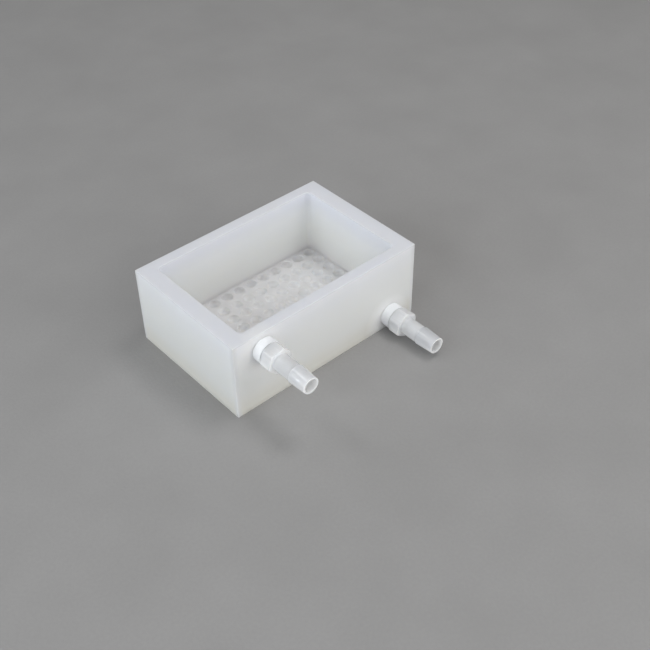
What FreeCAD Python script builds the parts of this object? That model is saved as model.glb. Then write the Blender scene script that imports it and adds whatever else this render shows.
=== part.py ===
import FreeCAD, Part
import math
import os
import re
import Sketcher
from FreeCAD import Placement, Rotation, Vector

# Flow-through reagent reservoir, millimetres. One block of natural plastic on the standard microplate
# footprint holds a milled pocket, with a round dimple in its floor under each of 96 pipette tips. Two
# moulded hose fittings are screwed into taper-tapped ports in the long front wall, each sealed with
# thread tape: the outlet high up, the inlet level with the floor.
# Origin at the centre of the block's base, +X along its length, the fittings point to -Y, +Z up.

doc = FreeCAD.newDocument("reagent_reservoir")


# ---------------------------------------------------------------- sizes

drivingSizes = [
    # block
    ("blockLength", 127.76),     # standard footprint, long side
    ("blockWidth", 85.48),       # standard footprint, short side
    ("blockHeight", 48.56),
    ("endWall", 9.88),           # wall at each short end of the pocket
    ("sideWall", 6.74),          # wall along each long side, which the ports go through
    ("floorThickness", 8.25),
    ("pocketCorner", 3.0),       # radius that the end mill leaves in the pocket's upright corners
    ("edgeBreak", 0.4),          # chamfer on the block's outer edges and round the rim
    # dimples
    ("dimplePitch", 9.0),        # spacing of the pipette tips
    ("dimpleBall", 3.5),         # radius of the ball-nosed cutter
    ("dimpleDepth", 2.6),        # how deep the ball is plunged
    ("dimpleBend", 1.9),         # depth where the steep band of facets meets the shallow one
    # ports
    ("outletInset", 19.38),      # from the block's left end to the outlet's axis
    ("outletDrop", 11.06),       # from the block's top to the outlet's axis
    ("inletInset", 17.68),       # from the block's right end to the inlet's axis
    ("hexTableGap", 0.2),        # under the inlet's hexagon if it stops with a corner down
    ("portRunout", 0.8),         # how far the tap drill passes the pocket's wall
    ("portSink", 0.6),           # countersink at the mouth, 45 degrees
    # hose fittings, both from one mould
    ("threadRadius", 6.86),      # over the crests of the neck, quarter inch taper pipe thread
    ("threadTaper", 0.03125),    # radius lost for each millimetre inside the port
    ("threadLength", 11.0),
    ("threadEndGap", 0.24),      # the thread stops this far short of the pocket
    ("hexStep", 0.04),           # how far the hexagon's flats stand out from the thread
    ("hexLength", 9.0),
    ("hexChamfer", 0.8),
    ("cornerTrim", 0.17),        # taken off the hexagon's sharp corners
    ("stemRadius", 5.05),
    ("stemLength", 11.2),
    ("barbHeight", 0.4),         # how far the barb stands out from the stem
    ("barbRise", 0.6),           # short cone behind the barb's shoulder
    ("barbLength", 11.5),        # from the shoulder to the tip
    ("tipStep", 0.2),            # how much smaller than the stem the tip is
    ("stemWall", 1.4),
    ("boreStep", 0.75),          # how much wider the bore is at the thread end
    ("boreOverrun", 3.0),        # how far the wider bore reaches under the hexagon
    ("outletTurn", 12.0),        # degrees, where each hexagon happened to stop
    ("inletTurn", 30.0),
    # thread tape, where it shows between the wall and the hexagon: inside the port it is pressed into
    # the thread's roots, so the two taper faces meet
    ("tapeThickness", 0.22),     # of the wraps round the neck
    ("tapeTuck", 0.2),           # how far the tape reaches into the port's countersink
    ("tapeHexGap", 0.12),
]

derivedSizes = [
    ("pocketLength", "blockLength - 2 * endWall"),
    ("pocketWidth", "blockWidth - 2 * sideWall"),
    ("pocketDepth", "blockHeight - floorThickness"),
    ("columns", "floor(pocketLength / dimplePitch + 0.01)"),
    ("rows", "floor(pocketWidth / dimplePitch + 0.01)"),
    ("threadEngaged", "sideWall - threadEndGap"),
    ("tapeStart", "threadEngaged - tapeTuck"),
    ("tapeEnd", "threadLength - tapeHexGap"),
    ("tapeRadius", "threadRadius + tapeThickness"),
    ("threadEndRadius", "threadRadius - threadTaper * tapeStart"),
    ("mouthRadius", "threadRadius + threadTaper * tapeTuck"),
    ("portDepth", "sideWall + portRunout"),
    ("hexCorner", "(threadRadius + hexStep) / cos(30)"),
    ("hexOverCorner", "hexCorner - cornerTrim"),
    ("hexEnd", "threadLength + hexLength"),
    ("stemEnd", "hexEnd + stemLength"),
    ("shoulder", "stemEnd + barbRise"),
    ("fittingLength", "shoulder + barbLength"),
    ("barbRadius", "stemRadius + barbHeight"),
    ("tipRadius", "stemRadius - tipStep"),
    ("hoseBore", "stemRadius - stemWall"),
    ("threadBore", "hoseBore + boreStep"),
    ("threadBoreDepth", "threadLength + boreOverrun"),
    ("outletX", "outletInset - blockLength / 2"),
    ("outletZ", "blockHeight - outletDrop"),
    ("inletX", "blockLength / 2 - inletInset"),
    ("inletZ", "hexOverCorner + hexTableGap"),
]

dimpleSides = 12    # facets round each dimple, which keep within 0.3 of the ball
profileClear = 1.0  # how far a cutting profile stands clear of what it cuts
smallestCut = 0.5   # cubic millimetres: a cut that takes less has missed

sheet = doc.addObject("Spreadsheet::Sheet", "sizes")
for row, (alias, value) in enumerate(drivingSizes + derivedSizes, start=1):
    sheet.set(f"A{row}", alias)
    sheet.set(f"B{row}", f"={value}" if isinstance(value, str) else str(value))
    sheet.setAlias(f"B{row}", alias)
doc.recompute()
aliases = {alias for alias, _ in drivingSizes + derivedSizes}


# ---------------------------------------------------------------- helpers

def fromSheet(text):
    """The expression with each size's name pointed at the sheet."""
    return re.sub(r"[A-Za-z]\w*", lambda word: f"sizes.{word[0]}" if word[0] in aliases else word[0], text)


def newBody(label, turn=None, **base):
    """A body whose placement is turned, and set at x, y and z given as expressions."""
    body = doc.addObject("PartDesign::Body", label)
    body.Label = label
    if turn:
        body.Placement = Placement(Vector(), turn)
    for axis, text in base.items():
        body.setExpression(f".Placement.Base.{axis}", fromSheet(text))
    return body


def originOf(body, role):
    return next(feature for feature in body.Origin.OriginFeatures if feature.Role == role)


def newSketch(body, name, plane, **offset):
    """A sketch on one of the body's origin planes, moved in its own x, y and z by expressions."""
    sketch = body.newObject("Sketcher::SketchObject", name)
    sketch.AttachmentSupport = [(originOf(body, plane), "")]
    sketch.MapMode = "FlatFace"
    for axis, text in offset.items():
        sketch.setExpression(f".AttachmentOffset.Base.{axis}", fromSheet(text))
    return sketch


def hold(sketch, kind, name, text, *where):
    """A dimension of the sketch, bound to an expression."""
    value = float(sheet.evalExpression(text))
    if kind == "Angle":
        value = math.radians(value)
    index = sketch.addConstraint(Sketcher.Constraint(kind, *where, value))
    sketch.renameConstraint(index, name)
    sketch.setExpression(f"Constraints.{name}", fromSheet(text))


def addRing(sketch, points):
    """Straight lines through the points and back to the first, joined end to end."""
    for i, start in enumerate(points):
        sketch.addGeometry(Part.LineSegment(start, points[(i + 1) % len(points)]), False)
    for i in range(len(points)):
        sketch.addConstraint(Sketcher.Constraint("Coincident", i, 2, (i + 1) % len(points), 1))


def drawOutline(sketch, corners):
    """A closed outline whose corners' x and y are expressions, with "0" for on the axis."""
    places = [Vector(*(float(sheet.evalExpression(text)) for text in corner), 0) for corner in corners]
    addRing(sketch, places)
    for i, (across, up) in enumerate(corners):
        for kind, text, axis in (("DistanceX", across, -2), ("DistanceY", up, -1)):
            if text == "0":
                sketch.addConstraint(Sketcher.Constraint("PointOnObject", i, 1, axis))
            else:
                hold(sketch, kind, f"{kind}{i}", text, -1, 1, i, 1)


def drawRectangle(sketch, length, width):
    """A rectangle centred on the sketch's origin."""
    x, y = (float(sheet.evalExpression(text)) / 2 for text in (length, width))
    addRing(sketch, [Vector(-x, -y, 0), Vector(x, -y, 0), Vector(x, y, 0), Vector(-x, y, 0)])
    for line, direction in enumerate(("Horizontal", "Vertical", "Horizontal", "Vertical")):
        sketch.addConstraint(Sketcher.Constraint(direction, line))
    sketch.addConstraint(Sketcher.Constraint("Symmetric", 0, 1, 2, 1, -1, 1))
    hold(sketch, "DistanceX", "length", length, 0, 1, 0, 2)
    hold(sketch, "DistanceY", "width", width, 1, 1, 1, 2)


def drawPolygon(sketch, sides, radius, turn):
    """A regular polygon on a circle, with a corner at the angle turn."""
    size, start = (float(sheet.evalExpression(text)) for text in (radius, turn))
    angles = [math.radians(start + 360 * i / sides) for i in range(sides)]
    addRing(sketch, [Vector(size * math.cos(angle), size * math.sin(angle), 0) for angle in angles])
    circle = sketch.addGeometry(Part.Circle(Vector(), Vector(0, 0, 1), size), True)
    spoke = sketch.addGeometry(Part.LineSegment(Vector(), sketch.Geometry[0].StartPoint), True)
    sketch.addConstraint(Sketcher.Constraint("Coincident", circle, 3, -1, 1))
    sketch.addConstraint(Sketcher.Constraint("Coincident", spoke, 1, -1, 1))
    sketch.addConstraint(Sketcher.Constraint("Coincident", spoke, 2, 0, 1))
    for line in range(sides):
        sketch.addConstraint(Sketcher.Constraint("PointOnObject", line, 1, circle))
    for line in range(1, sides):
        sketch.addConstraint(Sketcher.Constraint("Equal", 0, line))
    hold(sketch, "Radius", "radius", radius, circle)
    hold(sketch, "Angle", "turn", turn, spoke)


def addFeature(body, kind, name, expressions=None, **settings):
    """A feature of the body, with its settings and its bound sizes, recomputed."""
    feature = body.newObject(f"PartDesign::{kind}", name)
    for key, value in settings.items():
        setattr(feature, key, value)
    for key, text in (expressions or {}).items():
        feature.setExpression(key, fromSheet(text))
    body.Tip = feature
    doc.recompute()
    return feature


def cutFeature(body, kind, name, expressions=None, **settings):
    """A feature that takes material away, refused if it took none."""
    before = body.Shape.Volume
    feature = addFeature(body, kind, name, expressions, **settings)
    if before - body.Shape.Volume < smallestCut:
        raise RuntimeError(f"{name} cuts nothing")
    return feature


def wholeTurn(profile, axis):
    """Settings of a feature that turns its profile right round one of the sketch's own axes."""
    return {"Profile": profile, "ReferenceAxis": (profile, [axis]), "Angle": 360.0}


def edgesOf(feature, wanted):
    """Names of the feature's edges whose two ends pass the test."""
    return [f"Edge{i}" for i, edge in enumerate(feature.Shape.Edges, start=1)
            if wanted(*(end.Point for end in edge.Vertexes))]


def near(value, target):
    return abs(value - target) < 1e-4


def onCorner(point, length, width):
    """Whether the point is over a corner of the centred rectangle."""
    return near(abs(point.x), length / 2) and near(abs(point.y), width / 2)


# ---------------------------------------------------------------- block

def buildBlock():
    """The milled block: pocket, broken edges, tapped ports and dimpled floor."""
    body = newBody("milled_block")

    footprint = newSketch(body, "footprint", "XY_Plane")
    drawRectangle(footprint, "blockLength", "blockWidth")
    addFeature(body, "Pad", "stock", {"Length": "blockHeight"}, Profile=footprint)

    mouth = newSketch(body, "pocketMouth", "XY_Plane", z="blockHeight")
    drawRectangle(mouth, "pocketLength", "pocketWidth")
    pocket = cutFeature(body, "Pocket", "pocket", {"Length": "pocketDepth"}, Profile=mouth)

    upright = edgesOf(pocket, lambda a, b: onCorner(a, sheet.pocketLength, sheet.pocketWidth)
                      and near(a.x, b.x) and near(a.y, b.y))
    rounded = addFeature(body, "Fillet", "corners", {"Radius": "pocketCorner"}, Base=(pocket, upright))

    outside = edgesOf(rounded, lambda a, b: onCorner(a, sheet.blockLength, sheet.blockWidth)
                      and onCorner(b, sheet.blockLength, sheet.blockWidth))
    rim = edgesOf(rounded, lambda a, b: near(a.z, sheet.blockHeight) and near(b.z, sheet.blockHeight))
    sharp = sorted({*outside, *rim})
    cutFeature(body, "Chamfer", "brokenEdges", {"Size": "edgeBreak"}, Base=(rounded, sharp))

    for port in ("outlet", "inlet"):
        cutPort(body, port)
    return cutDimples(body)


def cutPort(body, port):
    """A taper-tapped hole through the front wall, countersunk, with its thread's fine form left off."""
    profile = newSketch(body, f"{port}PortProfile", "YZ_Plane",
                        x=f"-blockWidth / 2 - {profileClear}", y=f"{port}Z", z=f"{port}X")
    drawOutline(profile, [
        ("0", "0"),
        ("0", f"mouthRadius + portSink + {profileClear}"),
        (f"{profileClear} + portSink", "mouthRadius - threadTaper * portSink"),
        (f"{profileClear} + portDepth", "mouthRadius - threadTaper * portDepth"),
        (f"{profileClear} + portDepth", "0"),
    ])
    cutFeature(body, "Groove", f"{port}Port", **wholeTurn(profile, "H_Axis"))


def dimpleRing(radius, z):
    """Corners of one ring of facets, with flats towards the neighbouring dimples."""
    angles = [2 * math.pi * (side + 0.5) / dimpleSides for side in range(dimpleSides)]
    return [Vector(radius * math.cos(angle), radius * math.sin(angle), z) for angle in angles]


def facet(*corners):
    return Part.Face(Part.makePolygon([*corners, corners[0]]))


def dimpleCutter():
    """The end of the ball-nosed cutter in flat facets, centred above the origin, with a shank on top."""
    lift = sheet.dimpleBall - sheet.dimpleDepth
    floorZ = sheet.floorThickness
    rim = math.sqrt(sheet.dimpleBall ** 2 - lift ** 2)
    bend = math.sqrt(sheet.dimpleBall ** 2 - (lift + sheet.dimpleBend) ** 2)
    rings = [dimpleRing(rim, floorZ + profileClear), dimpleRing(rim, floorZ),
             dimpleRing(bend, floorZ - sheet.dimpleBend)]
    lowest = Vector(0, 0, floorZ - sheet.dimpleDepth)
    faces = [facet(*rings[0])]
    for side in range(dimpleSides):
        after = (side + 1) % dimpleSides
        for upper, lower in zip(rings, rings[1:]):
            faces.append(facet(upper[side], upper[after], lower[after], lower[side]))
        faces.append(facet(rings[-1][side], rings[-1][after], lowest))
    return Part.Solid(Part.Shell(faces))


def cutDimples(milled):
    """The block with a dimple under every tip: rows and columns centred on the pocket."""
    cutter = dimpleCutter()
    columns, rows = int(sheet.columns), int(sheet.rows)
    places = [Vector(column - (columns - 1) / 2, row - (rows - 1) / 2, 0) * sheet.dimplePitch
              for column in range(columns) for row in range(rows)]
    cutters = doc.addObject("Part::Feature", "dimpleCutters")
    cutters.Shape = Part.makeCompound([cutter.translated(place) for place in places])
    block = doc.addObject("Part::Cut", "reservoir_block")
    block.Label = "reservoir_block"
    block.Base = milled
    block.Tool = cutters
    doc.recompute()
    if milled.Shape.Volume - block.Shape.Volume < smallestCut * len(places):
        raise RuntimeError("the dimples cut nothing")
    return block


# ---------------------------------------------------------------- fittings and tape

# A fitting and its tape share one frame: +Z from the thread's inner end towards the hose, turned to -Y.
towardsHose = Rotation(Vector(1, 0, 0), 90)


def fittingBody(label, port):
    return newBody(label, towardsHose, x=f"{port}X", y="-(blockWidth / 2 - threadEngaged)", z=f"{port}Z")


def buildFitting(label, port):
    """A moulded hose fitting: taper thread, neck, hexagon, stem and one long barb, bored through."""
    body = fittingBody(label, port)

    hexagon = newSketch(body, f"{port}Hexagon", "XY_Plane", z="threadLength")
    drawPolygon(hexagon, 6, "hexCorner", f"{port}Turn")
    addFeature(body, "Pad", f"{port}HexPad", {"Length": "hexLength"}, Profile=hexagon)

    trim = newSketch(body, f"{port}HexTrim", "XZ_Plane")
    drawOutline(trim, [
        ("hexOverCorner - hexChamfer", "threadLength"),
        ("hexOverCorner", "threadLength + hexChamfer"),
        ("hexOverCorner", "hexEnd - hexChamfer"),
        ("hexOverCorner - hexChamfer", "hexEnd"),
        (f"hexCorner + {profileClear}", "hexEnd"),
        (f"hexCorner + {profileClear}", "threadLength"),
    ])
    cutFeature(body, "Groove", f"{port}HexCorners", **wholeTurn(trim, "V_Axis"))

    turned = newSketch(body, f"{port}Turned", "XZ_Plane")
    drawOutline(turned, [
        ("0", "0"),
        ("threadEndRadius", "0"),
        ("threadRadius", "tapeStart"),
        ("threadRadius", "threadLength"),
        ("stemRadius", "threadLength"),
        ("stemRadius", "stemEnd"),
        ("barbRadius", "shoulder"),
        ("tipRadius", "fittingLength"),
        ("0", "fittingLength"),
    ])
    addFeature(body, "Revolution", f"{port}Spindle", **wholeTurn(turned, "V_Axis"))

    bore = newSketch(body, f"{port}Bore", "XZ_Plane", y=f"-{profileClear}")
    drawOutline(bore, [
        ("0", "0"),
        ("threadBore", "0"),
        ("threadBore", f"{profileClear} + threadBoreDepth"),
        ("hoseBore", f"{profileClear} + threadBoreDepth"),
        ("hoseBore", f"fittingLength + 2 * {profileClear}"),
        ("0", f"fittingLength + 2 * {profileClear}"),
    ])
    cutFeature(body, "Groove", f"{port}Bored", **wholeTurn(bore, "V_Axis"))
    return body


def buildTape(label, port):
    """The band of thread tape round the fitting's neck, from the port's countersink to the hexagon."""
    body = fittingBody(label, port)
    profile = newSketch(body, f"{port}TapeProfile", "XZ_Plane")
    drawOutline(profile, [
        ("threadRadius", "tapeStart"),
        ("threadRadius", "tapeEnd"),
        ("tapeRadius", "tapeEnd"),
        ("tapeRadius", "tapeStart"),
    ])
    addFeature(body, "Revolution", f"{port}Wraps", **wholeTurn(profile, "V_Axis"))
    return body


# ---------------------------------------------------------------- build and write

parts = [buildBlock()]
for portName in ("outlet", "inlet"):
    parts.append(buildFitting(f"{portName}_fitting", portName))
    parts.append(buildTape(f"{portName}_thread_tape", portName))
doc.recompute()

for thing in doc.Objects:
    if "Invalid" in thing.State or "Error" in thing.State:
        raise RuntimeError(f"{thing.Label} did not recompute: {thing.State}")
for part in parts:
    if part.Shape.isNull() or not part.Shape.isValid() or len(part.Shape.Solids) != 1:
        raise RuntimeError(f"{part.Label} is not one valid solid")

os.makedirs("parts", exist_ok=True)
for part in parts:
    part.Shape.exportStep(f"parts/{part.Label}.step")
    box = part.Shape.BoundBox
    print(f"{part.Label}: {part.Shape.Volume / 1000:.2f} cm3, x {box.XMin:.2f} to {box.XMax:.2f}, "
          f"y {box.YMin:.2f} to {box.YMax:.2f}, z {box.ZMin:.2f} to {box.ZMax:.2f}")
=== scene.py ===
import math
import bpy
import numpy as np
from mathutils import Matrix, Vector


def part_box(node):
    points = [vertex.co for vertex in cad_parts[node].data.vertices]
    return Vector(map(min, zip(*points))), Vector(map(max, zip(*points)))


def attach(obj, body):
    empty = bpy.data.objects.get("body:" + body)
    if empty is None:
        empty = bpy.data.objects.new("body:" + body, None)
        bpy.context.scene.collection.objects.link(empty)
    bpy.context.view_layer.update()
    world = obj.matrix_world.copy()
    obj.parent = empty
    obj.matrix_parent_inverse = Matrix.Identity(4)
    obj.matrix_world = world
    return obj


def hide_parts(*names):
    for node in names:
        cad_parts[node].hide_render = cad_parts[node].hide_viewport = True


# Flow-through reagent reservoir: a milled block of natural plastic with a dimpled pocket, and two moulded
# hose fittings sealed with thread tape. Lengths in the settings are millimetres; meshes are in metres.
# +X runs along the block, the hose fittings point to -Y, +Z is up.

mm = 0.001
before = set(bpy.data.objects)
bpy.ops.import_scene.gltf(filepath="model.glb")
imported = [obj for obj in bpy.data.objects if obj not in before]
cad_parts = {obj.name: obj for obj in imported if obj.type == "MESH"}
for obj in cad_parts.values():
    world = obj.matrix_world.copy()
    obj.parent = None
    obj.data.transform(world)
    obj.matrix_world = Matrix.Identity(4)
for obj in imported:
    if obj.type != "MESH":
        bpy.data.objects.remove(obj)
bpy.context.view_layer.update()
print("frame loaded:", ", ".join(sorted(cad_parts)))


def boxOf(node):
    low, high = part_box(node)
    return np.array(low) / mm, np.array(high) / mm


def placeOf(name):
    # a fitting's axis in X and Z, and the Y of its thread's inner end
    low, high = boxOf(f"{name}_fitting")
    return (low + high)[[0, 2]] / 2, high[1]


blockLow, blockHigh = boxOf("reservoir_block")


# shared mesh helpers

def makePiece(name, points, faces, material, sharpFrom):
    # sharpFrom: edges that turn by more than so many degrees stay crisp
    mesh = bpy.data.meshes.new(name)
    mesh.from_pydata((np.asarray(points) * mm).tolist(), [], faces)
    mesh.validate()
    piece = bpy.data.objects.new(name, mesh)
    bpy.context.scene.collection.objects.link(piece)
    mesh.materials.append(material)
    shade(mesh, sharpFrom)
    return piece


def shade(mesh, sharpFrom):
    mesh.shade_smooth()
    mesh.set_sharp_from_angle(angle=math.radians(sharpFrom))


def gridFaces(rows, columns, closeRows=False, closeColumns=False, flip=False):
    # quads between neighbouring points of a rows x columns grid, joined round where asked
    i, j = np.meshgrid(np.arange(rows if closeRows else rows - 1),
                       np.arange(columns if closeColumns else columns - 1), indexing="ij")
    after, beside = (i + 1) % rows * columns, (j + 1) % columns
    quads = np.stack([i * columns + j, after + j, after + beside, i * columns + beside], -1)
    quads = quads.reshape(-1, 4)
    return (quads[:, ::-1] if flip else quads).tolist()


def roundPoints(axis, radius, y, angle):
    # points at a radius and angle round an axis along Y, which is given by its X and Z
    x, z = axis[0] + radius * np.cos(angle), axis[1] + radius * np.sin(angle)
    return np.stack([x, np.broadcast_to(y, radius.shape), z], -1).reshape(-1, 3)


def weld(piece, cell=0.002, shift=0.37):
    # joins points that share a cell, in place; the shift keeps round sizes away from the cells' borders
    mesh = piece.data
    points = np.zeros(len(mesh.vertices) * 3)
    mesh.vertices.foreach_get("co", points)
    keys = np.floor(points.reshape(-1, 3) / (cell * mm) + shift).astype(np.int64)
    first, back = np.unique(keys, axis=0, return_index=True, return_inverse=True)[1:]
    back = back.reshape(-1)
    faces = []
    for polygon in mesh.polygons:
        ring = [back[v] for v in polygon.vertices]
        ring = [v for k, v in enumerate(ring) if v != ring[k - 1]]
        if len(ring) > 2:
            faces.append(ring)
    kept = points.reshape(-1, 3)[first]
    mesh.clear_geometry()
    mesh.from_pydata(kept.tolist(), [], faces)
    mesh.validate()
    return piece


def cut(piece, cutter):
    # takes the cutter out of the piece
    modifier = piece.modifiers.new("cut", "BOOLEAN")
    modifier.operation, modifier.solver, modifier.object = "DIFFERENCE", "EXACT", cutter
    result = bpy.data.meshes.new_from_object(piece.evaluated_get(bpy.context.evaluated_depsgraph_get()))
    piece.modifiers.clear()
    piece.data = result
    bpy.data.objects.remove(cutter)


# shared node helpers

def newMaterial(name):
    material = bpy.data.materials.new(name)
    material.use_nodes = True
    tree = material.node_tree
    return material, tree, tree.nodes["Principled BSDF"]


def addNode(tree, kind, **settings):
    # each setting is one of the node's inputs or else one of its properties
    node = tree.nodes.new(kind)
    for key, value in settings.items():
        if key in node.inputs.keys():
            node.inputs[key].default_value = value
        else:
            setattr(node, key, value)
    return node


def objectPlace(tree, scale=(1, 1, 1)):
    # object coordinates in millimetres, stretched by scale
    place = addNode(tree, "ShaderNodeTexCoord")
    mapping = addNode(tree, "ShaderNodeMapping")
    mapping.inputs["Scale"].default_value = [axis / mm for axis in scale]
    tree.links.new(place.outputs["Object"], mapping.inputs["Vector"])
    return mapping.outputs["Vector"]


def split(tree, place):
    node = addNode(tree, "ShaderNodeSeparateXYZ")
    tree.links.new(place, node.inputs["Vector"])
    return node.outputs


def noise(tree, place, scale, detail):
    texture = addNode(tree, "ShaderNodeTexNoise", Scale=scale, Detail=detail)
    tree.links.new(place, texture.inputs["Vector"])
    return texture.outputs["Fac"]


def spread(tree, value, low, high, fromLow=0.3, fromHigh=0.7):
    # takes fromLow..fromHigh, which unless given is where most of a noise lies, to low..high
    node = addNode(tree, "ShaderNodeMapRange")
    for name, number in (("From Min", fromLow), ("From Max", fromHigh), ("To Min", low), ("To Max", high)):
        node.inputs[name].default_value = number
    tree.links.new(value, node.inputs["Value"])
    return node.outputs["Result"]


def ramp(tree, value, stops):
    node = addNode(tree, "ShaderNodeValToRGB")
    elements = node.color_ramp.elements
    while len(elements) < len(stops):
        elements.new(0.5)
    for element, (position, colour) in zip(elements, stops):
        element.position = position
        element.color = (*colour, 1)
    tree.links.new(value, node.inputs["Fac"])
    return node.outputs["Color"]


def blend(tree, factor, first, second):
    # first where factor is 0, second where it is 1; each a colour or a socket
    node = addNode(tree, "ShaderNodeMix", data_type="RGBA", blend_type="MIX")
    tree.links.new(factor, node.inputs[0])
    for socket, value in zip(node.inputs[6:8], (first, second)):
        if isinstance(value, bpy.types.NodeSocket):
            tree.links.new(value, socket)
        else:
            socket.default_value = (*value, 1)
    return node.outputs[2]


def clouded(tree, cloud, colour, share):
    # the colour, darkened to a share of itself where the cloud is dense
    return blend(tree, spread(tree, cloud, 0, 1), colour, tuple(c * share for c in colour))


def times(tree, first, second):
    node = addNode(tree, "ShaderNodeMath", operation="MULTIPLY")
    tree.links.new(first, node.inputs[0])
    tree.links.new(second, node.inputs[1])
    return node.outputs[0]


def rectangle(tree, axes, inner, outer, first=1, last=0):
    # on X times on Y: first within the half size inner, going to last at the half size outer
    shares = []
    for axis, start, end in zip("XY", inner, outer):
        size = addNode(tree, "ShaderNodeMath", operation="ABSOLUTE")
        tree.links.new(axes[axis], size.inputs[0])
        shares.append(spread(tree, size.outputs[0], first, last, start, end))
    return times(tree, *shares)


def bump(tree, shader, height, distance, after=None):
    node = addNode(tree, "ShaderNodeBump", Distance=distance * mm)
    tree.links.new(height, node.inputs["Height"])
    if after:
        tree.links.new(after.outputs["Normal"], node.inputs["Normal"])
    tree.links.new(node.outputs["Normal"], shader.inputs["Normal"])
    return node


def scatter(shader, looks):
    # how far light wanders below the surface, a share of the depth for each of red, green and blue
    shader.inputs["Subsurface Radius"].default_value = looks["spread"]
    shader.inputs["Subsurface Scale"].default_value = looks["depth"] * mm
    shader.inputs["IOR"].default_value = looks["refraction"]


# materials; a noise is given by its scale per millimetre and its detail

naturalPlastic = {
    # painted light and shade by height, as a share of the block's colour: warm and lighter at the foot,
    # standing in for light that crossed the block, cool and darker on the rim and its rounded edges, lighter
    # down in the dimples
    "outside": [(0.0, (0.84, 0.83, 0.75)), (0.04, (0.765, 0.75, 0.685)), (0.12, (0.75, 0.745, 0.70)),
                (0.3, (0.78, 0.79, 0.78)), (0.55, (0.82, 0.835, 0.83)), (0.72, (0.845, 0.86, 0.87)),
                (0.92, (0.86, 0.88, 0.915)), (0.978, (0.88, 0.895, 0.94)), (0.992, (0.70, 0.715, 0.765)),
                (1.0, (0.745, 0.76, 0.815))],
    "inside": [(0.116, (0.90, 0.895, 0.895)), (0.155, (0.86, 0.855, 0.855)), (0.171, (0.747, 0.738, 0.743)),
               (0.205, (0.835, 0.825, 0.825)), (0.3, (0.87, 0.875, 0.86)), (0.5, (0.89, 0.90, 0.885)),
               (0.75, (0.87, 0.885, 0.90)), (0.93, (0.795, 0.815, 0.88)), (0.978, (0.795, 0.815, 0.885)),
               (0.992, (0.675, 0.695, 0.75)), (1.0, (0.745, 0.76, 0.815))],
    "insideTo": (54.5, 36.5), "outsideFrom": (56, 38),       # half sizes, just behind the pocket's walls
    "foot": (0.705, 0.695, 0.70),    # painted shade on the pocket's floor along its back wall,
    "footDepth": (28, 36),           # from nothing to full in Y
    "footHeight": (8.3, 11),         # and from full to nothing in Z
    "corner": (0.74, 0.75, 0.765), "cornerReach": 3.2,       # painted shade on the outer upright corners
    "tape": (0.97, 0.97, 0.96), "portLightShare": 0.85,           # painted light round the ports, lifting the fittings' shade on the wall
    "portLightReach": (8.5, 17),          # from full to nothing with the distance
    "portLightShift": -2.5,               # of its centre, in X and Z
    "cloud": (0.78, 0.79, 0.78), "cloudShare": 0.2, "cloudNoise": (0.035, 2),
    "weight": 0.5, "floorWeight": 0.97,                      # scattering; the most on the pocket's floor,
    "floorHeight": (8.3, 9.5),       # where it softens the dimples
    "depth": 8.0,
    "spread": (1.0, 0.95, 0.88),
    "refraction": 1.49,
    "roughness": (0.41, 0.53), "roughnessNoise": (1.7, 4),
    "toolMarks": (1, 2), "toolMarkScale": (0.06, 0.06, 5.0), "toolMarkDepth": 0.006,
    "grain": (3.5, 3), "grainDepth": 0.012,
}


def makeNaturalPlastic():
    looks = naturalPlastic
    material, tree, shader = newMaterial("naturalPlastic")
    place = objectPlace(tree)
    axes = split(tree, place)
    # painted light and shade by height, outside the pocket and inside it
    rise = spread(tree, axes["Z"], 0, 1, 0, blockHigh[2])
    # painted shade on the pocket's floor along its back wall
    foot = times(tree, spread(tree, axes["Y"], 0, 1, *looks["footDepth"]),
                 spread(tree, axes["Z"], 1, 0, *looks["footHeight"]))
    inside = blend(tree, foot, ramp(tree, rise, looks["inside"]), looks["foot"])
    inPocket = rectangle(tree, axes, looks["insideTo"], looks["outsideFrom"])
    tint = blend(tree, inPocket, ramp(tree, rise, looks["outside"]), inside)
    onFloor = times(tree, inPocket, spread(tree, axes["Z"], 1, 0, *looks["floorHeight"]))
    # painted shade on the outer upright corners
    corner = rectangle(tree, axes, blockHigh[:2] - looks["cornerReach"], blockHigh[:2], 0, 1)
    tint = blend(tree, corner, tint, looks["corner"])
    # painted light round each port, lifting the shade that the fitting and its tape cast on the block
    for name in ("outlet", "inlet"):
        centre = placeOf(name)[0] + looks["portLightShift"]
        near = addNode(tree, "ShaderNodeVectorMath", operation="DISTANCE")
        tree.links.new(place, near.inputs[0])
        near.inputs[1].default_value = (centre[0], blockLow[1], centre[1])
        share = spread(tree, near.outputs["Value"], looks["portLightShare"], 0, *looks["portLightReach"])
        tint = blend(tree, share, tint, looks["tape"])
    cloud = noise(tree, place, *looks["cloudNoise"])
    tint = blend(tree, spread(tree, cloud, 0, looks["cloudShare"]), tint, looks["cloud"])
    tree.links.new(tint, shader.inputs["Base Color"])
    tree.links.new(spread(tree, onFloor, looks["weight"], looks["floorWeight"], 0, 1),
                   shader.inputs["Subsurface Weight"])
    scatter(shader, looks)
    satin = noise(tree, place, *looks["roughnessNoise"])
    tree.links.new(spread(tree, satin, *looks["roughness"]), shader.inputs["Roughness"])
    toolMarks = noise(tree, objectPlace(tree, looks["toolMarkScale"]), *looks["toolMarks"])
    marks = bump(tree, shader, toolMarks, looks["toolMarkDepth"])
    bump(tree, shader, noise(tree, place, *looks["grain"]), looks["grainDepth"], marks)
    return material


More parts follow.
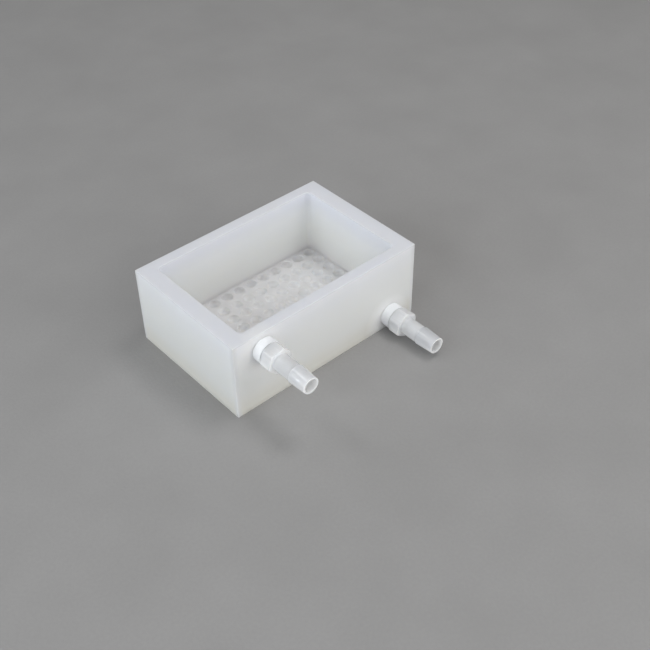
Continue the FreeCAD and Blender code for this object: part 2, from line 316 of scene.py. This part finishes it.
clearMoulding = {
    "colour": (0.75, 0.76, 0.775), "clouded": 0.97, "cloudNoise": (0.25, 3),
    # painted shade: the barbs darker than the rest of the moulding, the inlet's darker still
    "barb": (0.70, 0.715, 0.74),
    "barbFrom": (-68.5, -66.5),      # from full to nothing in Y
    "inletBarbShade": (0.60, 0.61, 0.635),
    "lit": (0.98, 0.99, 1.0),        # light taken in above comes out below, in the bore and at the tip
    "weight": 1.0,
    "depth": 4.5,
    "spread": (1.0, 0.97, 0.92),
    "clearness": 0.05,
    "refraction": 1.49,
    "roughness": (0.07, 0.14), "roughnessNoise": (0.9, 3),
    "waves": (0.4, 1), "waveDepth": 0.01,
}


def makeClearMoulding():
    looks = clearMoulding
    material, tree, shader = newMaterial("clearMoulding")
    place = objectPlace(tree)
    tint = clouded(tree, noise(tree, place, *looks["cloudNoise"]), looks["colour"], looks["clouded"])
    axes = split(tree, place)
    # painted shade on the barbs, the inlet's the darker
    barb = spread(tree, axes["Y"], 1, 0, *looks["barbFrom"])
    tint = blend(tree, barb, tint, looks["barb"])
    inlet = spread(tree, axes["X"], 0, 1)                     # the inlet is on the +X side
    tint = blend(tree, times(tree, barb, inlet), tint, looks["inletBarbShade"])
    lit = addNode(tree, "ShaderNodeAttribute", attribute_name="lit")
    tint = blend(tree, lit.outputs["Fac"], tint, looks["lit"])
    tree.links.new(tint, shader.inputs["Base Color"])
    shader.inputs["Subsurface Weight"].default_value = looks["weight"]
    shader.inputs["Transmission Weight"].default_value = looks["clearness"]
    scatter(shader, looks)
    satin = noise(tree, place, *looks["roughnessNoise"])
    tree.links.new(spread(tree, satin, *looks["roughness"]), shader.inputs["Roughness"])
    bump(tree, shader, noise(tree, place, *looks["waves"]), looks["waveDepth"])
    return material


threadTape = {
    "colour": (0.91, 0.93, 0.955), "clouded": 0.97,
    # painted shade on the tape low down, near the floor
    "low": (0.62, 0.62, 0.64),
    "shadeHeight": (3, 14),            # from full to nothing in Z
    "roughness": 0.4,
    "folds": (1.1, 4), "foldDepth": 0.08,
}


def makeThreadTape():
    looks = threadTape
    material, tree, shader = newMaterial("threadTape")
    place = objectPlace(tree)
    folds = noise(tree, place, *looks["folds"])
    tint = clouded(tree, folds, looks["colour"], looks["clouded"])
    # painted shade low down, near the floor
    low = spread(tree, split(tree, place)["Z"], 1, 0, *looks["shadeHeight"])
    tree.links.new(blend(tree, low, tint, looks["low"]), shader.inputs["Base Color"])
    shader.inputs["Roughness"].default_value = looks["roughness"]
    bump(tree, shader, folds, looks["foldDepth"])
    return material


paper = {
    "dark": (0.326, 0.322, 0.320), "light": (0.353, 0.348, 0.347), "mottle": (0.02, 4),
    "speck": (0.27, 0.27, 0.27), "speckShare": 0.2,
    "roughness": 0.75,
    "grain": (0.6, 3), "grainDepth": 0.1,
}


def makePaper():
    material, tree, shader = newMaterial("paper")
    place = objectPlace(tree)
    mottle, grain = (noise(tree, place, *paper[name]) for name in ("mottle", "grain"))
    tint = blend(tree, spread(tree, mottle, 0, 1), paper["dark"], paper["light"])
    tint = blend(tree, spread(tree, grain, 0, paper["speckShare"]), tint, paper["speck"])
    tree.links.new(tint, shader.inputs["Base Color"])
    shader.inputs["Roughness"].default_value = paper["roughness"]
    bump(tree, shader, grain, paper["grainDepth"])
    return material


blockPlastic, mouldedPlastic, tapeFilm = makeNaturalPlastic(), makeClearMoulding(), makeThreadTape()
print("materials made")


# milled block

block = {
    "endWall": 9.88, "sideWall": 6.74, "floor": 8.25,
    "corner": 3.0,                  # upright corners of the pocket
    "outerCorner": 0.4,
    "edge": 0.3,                    # rounding of the rim and the outer edges
    "baseEdge": 0.12,
    "fillet": 0.7,                  # the cutter's nose, where the pocket's walls meet its floor
    "edgeSteps": 3,                 # of each of these roundings
    "guard": 0.06,                  # first narrow strip of a flat face beside a rounding, to keep it flat
    "pitch": 9.0, "ball": 3.5, "depth": 2.6,                # dimples
    "lip": 0.45,                    # rounding round each dimple
    "ballRings": 7, "lipRings": 3,
    "facesRound": 48,               # of each dimple, a multiple of four
    "sharpFrom": 35,
}
outerHalf = (blockHigh - blockLow)[:2] / 2
pocketHalf = outerHalf - (block["endWall"], block["sideWall"])
coreHalf = pocketHalf - block["corner"]


def drawIn(points, radius):
    # a point further than radius from the pocket's core rectangle moves straight back to that distance
    core = np.clip(points, -coreHalf, coreHalf)
    away = points - core
    reach = np.linalg.norm(away, axis=-1, keepdims=True)
    return np.where(reach > radius, core + away * radius / np.maximum(reach, 1e-9), points)


def squareRound(count):
    # the border of a square of half width 1 as evenly spaced points, from its corner at +X and -Y
    t = np.arange(count) / count * 4
    side, along = np.floor(t).astype(int), t % 1 * 2 - 1
    x = np.choose(side, [np.ones(count), -along, -np.ones(count), along])
    y = np.choose(side, [along, np.ones(count), -along, -np.ones(count)])
    return np.stack([x, y], -1)


def dimpledFloor():
    # each cell of the pitch is a polar grid: rings of the ball, whose centre is lifted over the floor, its
    # rounded lip, and last the cell's square border, so that neighbouring cells share their border points
    count, ball, lip = block["facesRound"], block["ball"], block["lip"]
    lift = ball - block["depth"]
    steep = math.acos((lift + lip) / (ball + lip))           # slope where the ball meets its lip
    down = np.linspace(0, 1, block["ballRings"] + 1)[1:] * steep
    turn = np.linspace(0, 1, block["lipRings"] + 1)[1:] * steep
    rim = (ball + lip) * math.sin(steep)
    radius = np.r_[ball * np.sin(down), rim - lip * np.sin(steep - turn), rim + block["guard"]]
    depth = np.r_[ball * np.cos(down) - lift, lip - lip * np.cos(steep - turn), 0]
    angle = (np.arange(count) / count - 1 / 8) * 2 * math.pi  # from the same corner as the square
    ring = np.stack([np.cos(angle), np.sin(angle)], -1)
    rings = np.concatenate([radius[:, None, None] * ring, [squareRound(count) * block["pitch"] / 2]])
    heights = np.r_[-depth, 0.0] + block["floor"]
    cells = np.round(pocketHalf * 2 / block["pitch"]).astype(int)
    centres = np.stack(np.meshgrid(*[(np.arange(n) - (n - 1) / 2) * block["pitch"] for n in cells],
                                   indexing="ij"), -1).reshape(-1, 2)
    flat = drawIn(drawIn(centres[:, None, None] + rings, block["corner"]), block["corner"] - block["fillet"])
    z = np.broadcast_to(heights[:, None], (len(centres), len(heights), count))
    points = np.concatenate([flat, z[..., None]], -1).reshape(-1, 3)
    poles = np.c_[centres, np.full(len(centres), block["floor"] - block["depth"])]
    quads = np.array(gridFaces(len(heights), count, closeColumns=True))
    starts = np.arange(len(centres))[:, None] * len(heights) * count
    faces = (quads + starts[:, None]).reshape(-1, 4).tolist()
    around = np.arange(count)
    pole = np.broadcast_to(len(points) + np.arange(len(centres))[:, None], (len(centres), count))
    fans = np.stack([pole, starts + around, starts + (around + 1) % count], -1).reshape(-1, 3).tolist()
    return np.concatenate([points, poles]), faces + fans


def wallLoops():
    # the section of the walls carried round the pocket: a station is (half length and width, corner
    # radius, height), and its loop is the core rectangle grown by the radius
    border = block["pitch"] / (block["facesRound"] / 4)      # as far apart as the floor's border points
    steps = np.round(pocketHalf * 2 / border).astype(int)
    x, y = (np.arange(n) * border for n in steps)
    a, b = pocketHalf
    walk = np.concatenate([np.c_[x - a, np.full(len(x), -b)], np.c_[np.full(len(y), a), y - b],
                           np.c_[a - x, np.full(len(x), b)], np.c_[np.full(len(y), -a), b - y]])
    walk = drawIn(walk, block["corner"])
    core = np.clip(walk, -coreHalf, coreHalf)
    outward = (walk - core) / block["corner"]
    corner, outerCorner, floor, top = block["corner"], block["outerCorner"], block["floor"], blockHigh[2]
    edge, base, fillet, guard = block["edge"], block["baseEdge"], block["fillet"], block["guard"]
    bend = np.linspace(0, math.pi / 2, block["edgeSteps"] + 1)
    bends = [(1 - math.sin(t), 1 - math.cos(t)) for t in bend]
    foot = [(pocketHalf - fillet * s, corner - fillet * s, floor + fillet * c) for s, c in bends]
    inner = [(pocketHalf + edge * c, corner + edge * c, top - edge * s) for s, c in bends]
    outer = [(outerHalf - edge * s, outerCorner - edge * s, top - edge * c) for s, c in bends]
    under = [(outerHalf - base * c, outerCorner - base * c, base * s) for s, c in bends]
    stations = [*foot, (pocketHalf, corner, floor + fillet + guard), (pocketHalf, corner, top - edge - guard),
                *inner, (pocketHalf + edge + guard, corner + edge + guard, top),
                (outerHalf - edge - guard, outerCorner - edge - guard, top), *outer,
                (outerHalf, outerCorner, top - edge - guard), (outerHalf, outerCorner, base + guard), *under,
                (outerHalf - base - guard, outerCorner - base - guard, 0)]
    loops = [np.c_[core / coreHalf * (half - radius) + outward * radius, np.full(len(core), height)]
             for half, radius, height in stations]
    return np.concatenate(loops), len(stations), len(core)


def makeBlock():
    floorPoints, floorFaces = dimpledFloor()
    wallPoints, rows, columns = wallLoops()
    wallFaces = np.array(gridFaces(rows, columns, closeColumns=True)) + len(floorPoints)
    base = list(len(floorPoints) + (rows - 1) * columns + np.arange(columns)[::-1])
    piece = makePiece("milled_block", np.concatenate([floorPoints, wallPoints]),
                      floorFaces + wallFaces.tolist() + [base], blockPlastic, block["sharpFrom"])
    return weld(piece)


# hose fittings, both from one mould; distances run from the thread's inner end to the tip

fitting = {
    "thread": 12.3, "threadRadius": 6.86, "taper": 0.03125, "threadPitch": 1.411, "threadDepth": 0.85,
    "threadStep": 0.13,             # between its rings of points
    "threadFade": 0.8,              # length over which it begins and ends
    "grooveTop": 1.25, "grooveSlope": 3.0,                  # its V, cut off at 0 and 1
    "neck": 0.3, "neckEnd": 0.02,   # plain before the hexagon
    "lead": 0.5,                    # chamfer on the thread's inner end
    "wall": 6.5,                    # where the block's front face crosses it
    "hexHalf": 6.9, "hexCorner": 7.8, "hexLength": 7.7, "hexChamfer": 0.55,
    "sink": 0.05,                   # of each flat's middle
    "crowding": 0.6,                # how much closer the points are at the hexagon's corners
    "stem": 5.05, "stemLength": 11.2, "root": 0.5,
    "barb": 5.45, "barbRise": 0.6, "barbLength": 11.5, "tip": 4.85, "tipEdge": 0.28,
    "barbFoot": 0.03, "barbCrown": 0.01,                    # a little more radius before and behind its edge
    "shoulderBack": 0.12, "shoulderDown": 0.06,             # rounding of that edge
    "bore": 3.65, "wideBore": 4.4, "wideBoreDepth": 14.0,
    "guard": 0.15, "tipGuard": 0.2, "rootGuard": 1.5, "farGuard": 0.5,    # first rings of plain lengths
    "faces": 120, "chamferRings": 6, "bendRings": 5, "stemRings": 8, "barbRings": 12, "boreRings": 14,
    "wideBoreRings": 8,
    "sharpFrom": 40,
}
# where the moulding looks lit from inside: everywhere in the bore and at the tip, a share at the stem's
# root, and more and more towards the underside
litPlaces = {
    "boreMargin": 0.1, "tipShare": 0.6,
    "rootAt": 0.3, "rootReach": 1.6, "rootShare": 0.25, "rootMargin": 0.1,
    "level": 0.3, "below": 1.3,
}
port = {
    "runout": 0.8, "sink": 0.12, "clearance": 0.03,
    "before": 1,                    # how far the cutter stands out in front of the wall
    "faces": 96,
}
turns = {"outlet": math.radians(12), "inlet": math.radians(30)}     # how far each is screwed round


def makeCutter(name):
    # a closed section of (distance from the thread's inner end, radius) carried round the fitting's axis
    axis, inner = placeOf(name)
    mouth, slope = fitting["threadRadius"] + port["clearance"], fitting["taper"]
    sink, before = port["sink"], port["before"]
    front, back = fitting["wall"], fitting["wall"] - block["sideWall"] - port["runout"]
    along, radius = np.array([(back, mouth - slope * (front - back)), (front - sink, mouth - slope * sink),
                              (front, mouth + sink), (front + before, mouth + sink + before)]).T
    count = port["faces"]
    angle = np.arange(count) / count * 2 * math.pi
    points = roundPoints(axis, np.tile(radius[:, None], count), inner - along[:, None], angle)
    rings = gridFaces(len(along), count, closeColumns=True, flip=True)
    caps = [list(range(count))[::-1], list(range((len(along) - 1) * count, len(along) * count))]
    return makePiece("cutter", points, rings + caps, blockPlastic, block["sharpFrom"])


milledBlock = makeBlock()
for name in turns:
    cut(milledBlock, makeCutter(name))
shade(milledBlock.data, block["sharpFrom"])
print("block made:", len(milledBlock.data.polygons), "faces")


def fittingSection():
    # (distance, radius) once round the wall of the moulding: thread, hexagon, stem, barb, tip and back
    # through the bore; the third value is the share of the hexagon in the outline, the fourth of the thread
    f = fitting
    hexEnd = f["thread"] + f["hexLength"]
    stemEnd = hexEnd + f["stemLength"]
    shoulder = stemEnd + f["barbRise"]
    end = shoulder + f["barbLength"]
    threadEnd = f["thread"] - f["neck"]
    crest = f["threadRadius"] - f["taper"] * f["wall"]
    edge, root, guard = f["tipEdge"], f["root"], f["guard"]
    rows = [(0, f["wideBore"], 0, 0), (0, crest - f["lead"], 0, 0)]
    for along in np.arange(f["lead"], threadEnd, f["threadStep"]):
        radius = min(f["threadRadius"], crest + f["taper"] * along)
        fade = min(1, (along - f["lead"]) / f["threadFade"], (threadEnd - along) / f["threadFade"])
        rows.append((along, radius, 0, fade))
    rows.append((f["thread"] - f["neckEnd"], f["threadRadius"], 0, 0))
    chamfer = np.linspace(0, 1, f["chamferRings"]) * f["hexChamfer"]
    rows += [(f["thread"] + t, f["hexCorner"] - f["hexChamfer"] + t, 1, 0) for t in chamfer]
    rows += [(hexEnd - t, f["hexCorner"] - f["hexChamfer"] + t, 1, 0) for t in chamfer[::-1]]
    rows.append((hexEnd, f["stem"] + root + guard, 1, 0))
    bend = np.linspace(0, math.pi / 2, f["bendRings"])
    bends = [(1 - math.sin(t), 1 - math.cos(t)) for t in bend]
    slope = (f["barb"] - f["tip"]) / f["barbLength"]
    onStem = np.linspace(hexEnd + f["rootGuard"], stemEnd - guard, f["stemRings"])
    onBarb = np.linspace(shoulder + f["farGuard"], end - edge - f["tipGuard"], f["barbRings"])
    inBore = np.linspace(end - f["rootGuard"], f["wideBoreDepth"], f["boreRings"])
    inWideBore = np.linspace(f["wideBoreDepth"], f["farGuard"], f["wideBoreRings"])
    plain = [*((hexEnd + root * c, f["stem"] + root * s) for s, c in bends),
             *((along, f["stem"]) for along in onStem),
             (stemEnd, f["stem"] + f["barbFoot"]),
             (shoulder - f["shoulderBack"], f["barb"] - f["shoulderDown"]), (shoulder, f["barb"]),
             (shoulder + guard, f["barb"] + f["barbCrown"]),
             *((along, f["barb"] - slope * (along - shoulder)) for along in onBarb),
             *((end - edge * s, f["tip"] - edge * c) for s, c in bends),
             *((end - edge * c, f["bore"] + edge * s) for s, c in bends),
             *((along, f["bore"]) for along in inBore),
             *((along, f["wideBore"]) for along in inWideBore)]
    return np.array(rows + [(along, radius, 0, 0) for along, radius in plain])


def makeFitting(name):
    # the section carried round the axis; on the hexagon a point's radius is at most that of its flat,
    # half width / cos(angle from the flat's middle), and on the thread a 60 degree V winds round it
    axis, inner = placeOf(name)
    f, count = fitting, fitting["faces"]
    along, radius, hexShare, threadShare = fittingSection().T[..., None]
    t = np.arange(count) / count * 2 * math.pi
    angle = turns[name] + t - f["crowding"] * np.sin(6 * t) / 6
    fromFlat = (angle - turns[name]) % (math.pi / 3) - math.pi / 6
    flat = f["hexHalf"] / np.cos(fromFlat) - f["sink"] * np.cos(3 * fromFlat) ** 2
    radius = np.where(hexShare > 0, np.minimum(radius, flat), radius + 0 * flat)
    phase = (along / f["threadPitch"] - angle / (2 * math.pi)) % 1
    groove = np.clip(f["grooveTop"] - np.abs(phase - 0.5) * f["grooveSlope"], 0, 1)
    radius = radius - groove * f["threadDepth"] * threadShare
    faces = gridFaces(len(along), count, closeRows=True, closeColumns=True, flip=True)
    piece = makePiece(f"{name}_hose_fitting", roundPoints(axis, radius, inner - along, angle), faces,
                      mouldedPlastic, f["sharpFrom"])
    lit = litPlaces
    hexEnd = f["thread"] + f["hexLength"]
    inBore = radius < f["wideBore"] + lit["boreMargin"]
    atTip = along > along.max() - lit["tipShare"] * f["tipEdge"]
    onStem = radius < f["hexCorner"] - f["hexChamfer"] - lit["rootMargin"]
    fromRoot = np.abs(along - hexEnd - lit["rootAt"]) / lit["rootReach"]
    root = np.clip(1 - fromRoot, 0, lit["rootShare"]) * onStem
    below = np.clip(lit["level"] - lit["below"] * np.sin(angle), 0, 1)
    share = np.maximum(np.maximum(inBore | atTip, root), below).ravel().astype(np.float32)
    piece.data.attributes.new("lit", "FLOAT", "POINT").data.foreach_set("value", share)
    return piece


fittings = {name: makeFitting(name) for name in turns}
print("fittings made:", len(fittings["outlet"].data.polygons), "faces each")


# thread tape

tape = {
    "wraps": 3.6,
    "from": 6.34, "to": 12.15,      # where the band lies along the fitting
    "film": 0.07, "pressed": 0.75,  # thickness, and the share of it that each turn adds
    "gap": 0.01,                    # under the first turn
    "raggedness": 0.22, "leftWaves": 14, "rightWaves": 18,
    "least": 0.2,                   # the share of the raggedness that is always there
    "rightMore": 1.3,               # times as ragged on the hexagon's side
    "tail": 0.35, "tailWidth": 0.04, "tailAt": 0.62,        # the torn end's angle, its end's width and place
    "ridge": 0.035,                 # the thread's crests showing through,
    "ridgeStart": 0.3,              # fuller with every turn from this share on
    "crease": 0.03, "creaseWaves": (3, 30), "creaseAcross": 5, "creaseTurn": 1.7,
    "leastFilm": 0.6,
    "facesRound": 110, "facesAcross": 22,
    "seeds": {"outlet": 5, "inlet": 11},
    "starts": {"outlet": 200, "inlet": 140},                # degrees
    "sharpFrom": 50,
}


def ripple(angle, seed, lowest, highest):
    # a smooth uneven wave: a sum of cosines with random phases, between -1 and 1
    random = np.random.default_rng(seed)
    total = sum(np.cos(k * angle + random.uniform(0, 2 * math.pi)) * random.uniform(0.4, 1) / k ** 0.5
                for k in range(lowest, highest))
    return total / np.abs(total).max()


def frayed(angle, seed, waves):
    # how far an edge of the strip is drawn in
    return tape["least"] + (1 - tape["least"]) * (0.5 + 0.5 * ripple(angle, seed, 1, waves))


def makeTape(name):
    # a strip wound on itself: the radius grows with every turn, the edges wander, and the section is
    # closed by running out along the top of the film and back along its underside
    axis, inner = placeOf(name)
    seed, start = tape["seeds"][name], math.radians(tape["starts"][name])
    rows = int(tape["wraps"] * tape["facesRound"])
    angle = start + np.arange(rows + 1) / tape["facesRound"] * 2 * math.pi
    turn = ((angle - angle[0]) / (2 * math.pi))[:, None]
    ragged, film = tape["raggedness"], tape["film"]
    left = tape["from"] + ragged * frayed(angle, seed, tape["leftWaves"])
    right = tape["to"] - tape["rightMore"] * ragged * frayed(angle, seed + 1, tape["rightWaves"])
    tail = np.clip((angle[-1] - angle) / tape["tail"], tape["tailWidth"], 1)
    middle = left + (right - left) * tape["tailAt"]
    left, right = middle + (left - middle) * tail, middle + (right - middle) * tail
    across = np.linspace(0, 1, tape["facesAcross"])
    along = left[:, None] + (right - left)[:, None] * across
    ridges = np.cos(2 * math.pi * (along / fitting["threadPitch"] - angle[:, None] / (2 * math.pi)))
    crease = ripple(angle, seed + 2, *tape["creaseWaves"])[:, None]
    crease = crease * np.sin(across * tape["creaseAcross"] + angle[:, None] * tape["creaseTurn"])
    base = fitting["threadRadius"] + tape["gap"] + turn * film * tape["pressed"]
    fromEdge = 1 - np.abs(across * 2 - 1) ** 6
    top = (base + film + tape["ridge"] * ridges * np.minimum(1, turn + tape["ridgeStart"])
           + tape["crease"] * crease * fromEdge)
    under = np.minimum(base, top - film * tape["leastFilm"])
    along = np.concatenate([along, along[:, ::-1]], 1)
    radius = np.concatenate([top, under[:, ::-1]], 1)
    columns = radius.shape[1]
    faces = gridFaces(rows + 1, columns, closeColumns=True)
    caps = [list(range(columns)), list(range(rows * columns, (rows + 1) * columns))[::-1]]
    return makePiece(f"{name}_tape", roundPoints(axis, radius, inner - along, angle[:, None]), faces + caps,
                     tapeFilm, tape["sharpFrom"])


tapes = {name: makeTape(name) for name in turns}
print("tapes made:", len(tapes["outlet"].data.polygons), "faces each")

for piece, nodeName, slot in ((milledBlock, "reservoir_block", "natural_block"),
                              *((fittings[n], f"{n}_fitting", "clear_moulding") for n in turns),
                              *((tapes[n], f"{n}_thread_tape", "white_tape") for n in turns)):
    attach(piece, "root")
    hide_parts(nodeName)


# studio: floor, lights and camera

white = (1.0, 1.0, 1.0)
studio = {
    "floor": 1.2, "floorSides": 96,  # radius in metres, nearly out to the lamps
    "ambient": 0.005,
    "backdrop": (0.31, 0.31, 0.307),  # seen past the paper's edge from low down; it gives no light
    # softboxes: azimuth and elevation as seen from the object, width in metres, watts, colour
    "lights": {
        "topPanel": (0, 89, 1.4, 3.6, (1.0, 0.985, 0.965)),
        "leftKey": (221, 59, 0.16, 0.8, white),
        "rightKey": (75, 70, 0.4, 3.2, white),
        "frontFill": (0, 20, 1.2, 6.6, (1.0, 0.995, 0.99)),
        "rightFrontFill": (45, 22, 1.4, 7.0, (1.0, 0.995, 0.985)),
        "backRightFill": (135, 15, 0.8, 1.1, white),
        "backFill": (190, 15, 0.8, 2.2, (0.96, 0.98, 1.0)),
        "leftStrip": (246, 12.7, 0.1, 0.28, white),
        "leftFill": (270, 20, 1.2, 11.8, (0.93, 0.97, 1.0)),
        "leftFrontFill": (315, 15, 1.2, 1.1, (1.0, 1.0, 0.98)),
    },
    # each falls on one fitting and its tape alone: the light that clear plastic carries to its underside
    "mouldingLights": {
        "outletLow": ("outlet", 325, 6, 1.0, 2.9, white),
        "outletFront": ("outlet", 352, 4, 1.0, 2.8, white),
        "inletLow": ("inlet", 325, 6, 1.0, 0.9, white),
        "inletFront": ("inlet", 352, 4, 1.0, 1.7, white),
    },
    "distance": 1.3,                # of every lamp, in metres
    "centre": (0, 0, 0.02),         # what they point at
}
camera = {
    "place": (-278.2, -359.1, 398.1), "azimuth": -41.02, "elevation": 41.38, "roll": -0.919,
    "lens": 58.04, "sensor": 36,
    "near": 0.01, "far": 20,        # metres
}


def aimed(azimuth, elevation, distance, centre, roll=0.0):
    # looking back at centre from a distance; azimuth 0 is in front, on the -Y side, and 90 is on +X
    steps = ((azimuth, "Z"), (90 - elevation, "X"), (roll, "Z"))
    pan, tilt, twist = (Matrix.Rotation(math.radians(angle), 4, axis) for angle, axis in steps)
    return Matrix.Translation(centre) @ pan @ tilt @ twist @ Matrix.Translation((0, 0, distance))


def addLamp(name, azimuth, elevation, width, watts, colour):
    lamp = bpy.data.lights.new(name, "AREA")
    lamp.shape, lamp.size, lamp.energy, lamp.color = "SQUARE", width, watts, colour
    light = bpy.data.objects.new(name, lamp)
    bpy.context.scene.collection.objects.link(light)
    light.matrix_world = aimed(azimuth, elevation, studio["distance"], studio["centre"])
    return light


def makeFloor():
    turn = np.linspace(0, 2 * math.pi, studio["floorSides"], endpoint=False)
    mesh = bpy.data.meshes.new("floor")
    mesh.from_pydata((studio["floor"] * np.stack([np.cos(turn), np.sin(turn), 0 * turn], -1)).tolist(), [],
                     [list(range(len(turn)))])
    floor = bpy.data.objects.new("floor", mesh)
    mesh.materials.append(makePaper())
    bpy.context.scene.collection.objects.link(floor)


def makeWorld():
    world = bpy.data.worlds.new("studio")
    world.use_nodes = True
    tree = world.node_tree
    ambient = tree.nodes["Background"]
    ambient.inputs["Color"].default_value = (*white, 1)
    ambient.inputs["Strength"].default_value = studio["ambient"]
    backdrop = addNode(tree, "ShaderNodeBackground", Color=(*studio["backdrop"], 1))
    seen, mix = addNode(tree, "ShaderNodeLightPath"), addNode(tree, "ShaderNodeMixShader")
    tree.links.new(seen.outputs["Is Camera Ray"], mix.inputs[0])
    tree.links.new(ambient.outputs[0], mix.inputs[1])
    tree.links.new(backdrop.outputs[0], mix.inputs[2])
    tree.links.new(mix.outputs[0], tree.nodes["World Output"].inputs["Surface"])
    bpy.context.scene.world = world
    bpy.context.scene.view_settings.view_transform = "Standard"


def makeCamera():
    lens = bpy.data.cameras.new("camera")
    lens.lens, lens.sensor_width = camera["lens"], camera["sensor"]
    lens.clip_start, lens.clip_end = camera["near"], camera["far"]
    eye = bpy.data.objects.new("camera", lens)
    eye.matrix_world = aimed(camera["azimuth"], camera["elevation"], 0, np.array(camera["place"]) * mm,
                             camera["roll"])
    bpy.context.scene.collection.objects.link(eye)
    bpy.context.scene.camera = eye


makeFloor()
makeWorld()
for name, placing in studio["lights"].items():
    addLamp(name, *placing)
for name, (which, *placing) in studio["mouldingLights"].items():
    only = bpy.data.collections.new(name)
    only.objects.link(fittings[which])
    only.objects.link(tapes[which])
    addLamp(name, *placing).light_linking.receiver_collection = only
makeCamera()
print("studio made:", len(bpy.data.lights), "lamps")
